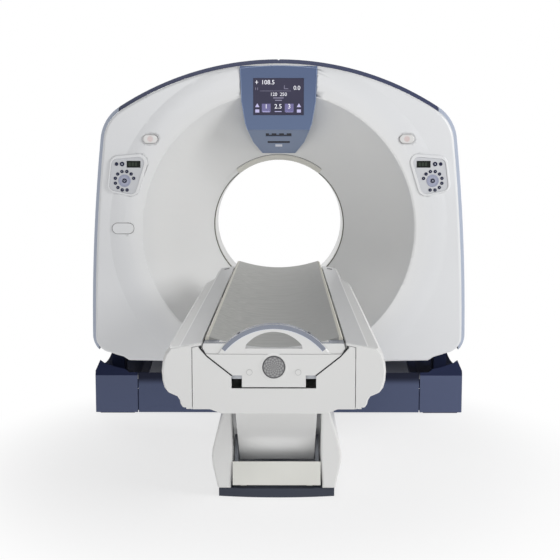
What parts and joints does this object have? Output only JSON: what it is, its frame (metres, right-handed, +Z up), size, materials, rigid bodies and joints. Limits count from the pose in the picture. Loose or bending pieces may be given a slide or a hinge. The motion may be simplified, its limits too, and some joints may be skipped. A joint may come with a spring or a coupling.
{
  "type": "ct scanner",
  "caption": "Computed tomography scanner: tilting ring housing on a floor stand, and a patient table with parallel lifting arms and a sliding cradle.",
  "frame": {"origin": "centre of the four floor anchor holes, on the floor below the centre of the bore", "axes": "+Z up, +Y along the bore away from the table, +X to the right seen from the table"},
  "size_m": [1.932, 3.2775, 1.832],
  "materials": {
    "cover_white": "satin moulded",
    "band_navy": "satin",
    "band_blue": "satin",
    "window_film": "matte film",
    "strip_beige": "matte",
    "bezel_blue": "satin",
    "screen_dark": "glossy",
    "keys_navy": "satin",
    "button_white": "glossy",
    "cast_alloy": "cast",
    "steel": "ground",
    "drive_grey": "painted",
    "belt_rubber": "matte",
    "block_black": "matte",
    "ring_black": "matte",
    "frame_paint": "satin paint",
    "base_navy": "satin",
    "plinth_slate": "satin paint",
    "panel_beige": "satin paint",
    "table_white": "satin moulded",
    "cradle_grey": "fine brushed"
  },
  "bodies": {
    "base": {"gantry_base_frame": "frame_paint", "upright_left": "frame_paint", "upright_right": "frame_paint", "trunnion_bearing": "steel", "tilt_gearmotor": "drive_grey", "base_tower_cover_left": "base_navy", "base_tower_cover_right": "base_navy", "base_front_cover": "base_navy", "base_rear_cover": "base_navy", "link_beam": "frame_paint", "table_plinth": "plinth_slate", "table_base_frame": "frame_paint", "leg_covers": "table_white", "pedestal_front_panel": "panel_beige", "lift_gearmotor": "drive_grey"},
    "tilting_gantry": {"tilt_frame": "cast_alloy", "front_cover": "cover_white", "scoop_liner": "cover_white", "rear_cover": "cover_white", "top_band": "band_navy", "side_bands": "band_blue", "scan_window": "window_film", "bore_lip_strip": "strip_beige", "display_bezel": "bezel_blue", "display_screen": "screen_dark", "control_panel_left": "cover_white", "control_panel_right": "cover_white", "panel_keys": "keys_navy", "cover_plate": "cover_white", "bearing_outer_ring": "steel", "trunnion_pins": "steel", "rotor_motor": "drive_grey", "drive_belt": "belt_rubber", "brush_block": "block_black"},
    "rotor": {"rotor_drum": "cast_alloy", "bearing_inner_ring": "steel", "slip_ring": "ring_black", "xray_tube": "cast_alloy", "collimator": "cast_alloy", "detector_array": "cast_alloy", "hv_generator": "cast_alloy", "hv_tank": "cast_alloy"},
    "rotor_drive": {"motor_pulley": "steel"},
    "left_stop": {"stop_button_left": "button_white"},
    "right_stop": {"stop_button_right": "button_white"},
    "left_hub": {"hub_button_left": "keys_navy"},
    "right_hub": {"hub_button_right": "keys_navy"},
    "front_arms": {"front_arm_pair": "frame_paint", "arm_cover": "table_white"},
    "rear_arms": {"rear_arm_pair": "frame_paint"},
    "table_top": {"table_frame": "cast_alloy", "table_side_cover_left": "table_white", "table_side_cover_right": "table_white", "table_end_cover": "table_white", "table_end_tongue": "table_white", "cradle_rails": "steel", "cradle_drive_unit": "drive_grey"},
    "cradle": {"cradle_shell": "cradle_grey", "cradle_carriage": "cast_alloy", "cradle_end_cap": "table_white"}
  },
  "joints": [
    {"name": "gantry_tilt", "type": "hinge", "parent": "base", "child": "tilting_gantry", "pos_m": [0, 0, 0.974], "axis": [-1, 0, 0], "range_deg": [-30, 30]},
    {"name": "rotor_spin", "type": "hinge", "parent": "tilting_gantry", "child": "rotor", "pos_m": [0, 0, 0.974], "axis": [0, 1, 0], "continuous": true},
    {"name": "rotor_drive_spin", "type": "hinge", "parent": "tilting_gantry", "child": "rotor_drive", "pos_m": [0.56, 0.11, 1.534], "axis": [0, 1, 0], "continuous": true},
    {"name": "left_stop_press", "type": "slide", "parent": "tilting_gantry", "child": "left_stop", "axis": [0, 1, 0], "range_m": [0, 0.003], "stiffness_N_per_m": 1500, "springref_m": -0.002},
    {"name": "right_stop_press", "type": "slide", "parent": "tilting_gantry", "child": "right_stop", "axis": [0, 1, 0], "range_m": [0, 0.003], "stiffness_N_per_m": 1500, "springref_m": -0.002},
    {"name": "left_hub_press", "type": "slide", "parent": "tilting_gantry", "child": "left_hub", "axis": [0, 1, 0], "range_m": [0, 0.002], "stiffness_N_per_m": 800, "springref_m": -0.002},
    {"name": "right_hub_press", "type": "slide", "parent": "tilting_gantry", "child": "right_hub", "axis": [0, 1, 0], "range_m": [0, 0.002], "stiffness_N_per_m": 800, "springref_m": -0.002},
    {"name": "table_lift", "type": "hinge", "parent": "base", "child": "front_arms", "pos_m": [0, -1.612, 0.186], "axis": [-1, 0, 0], "range_deg": [-30.95, 21.8]},
    {"name": "rear_arm_swing", "type": "hinge", "parent": "base", "child": "rear_arms", "pos_m": [0, -1.112, 0.186], "axis": [-1, 0, 0], "range_deg": [-30.96, 21.81]},
    {"name": "table_level", "type": "hinge", "parent": "front_arms", "child": "table_top", "pos_m": [0, -2.21414, 0.64971], "axis": [-1, 0, 0], "range_deg": [-21.81, 30.96]},
    {"name": "cradle_slide", "type": "slide", "parent": "table_top", "child": "cradle", "axis": [0, 1, 0], "range_m": [0, 1.7]}
  ],
  "couplings": [
    {"joint": "rotor_drive_spin", "follows": "rotor_spin", "ratio": 13},
    {"joint": "rear_arm_swing", "follows": "table_lift", "ratio": 1},
    {"joint": "table_level", "follows": "table_lift", "ratio": -1}
  ]
}
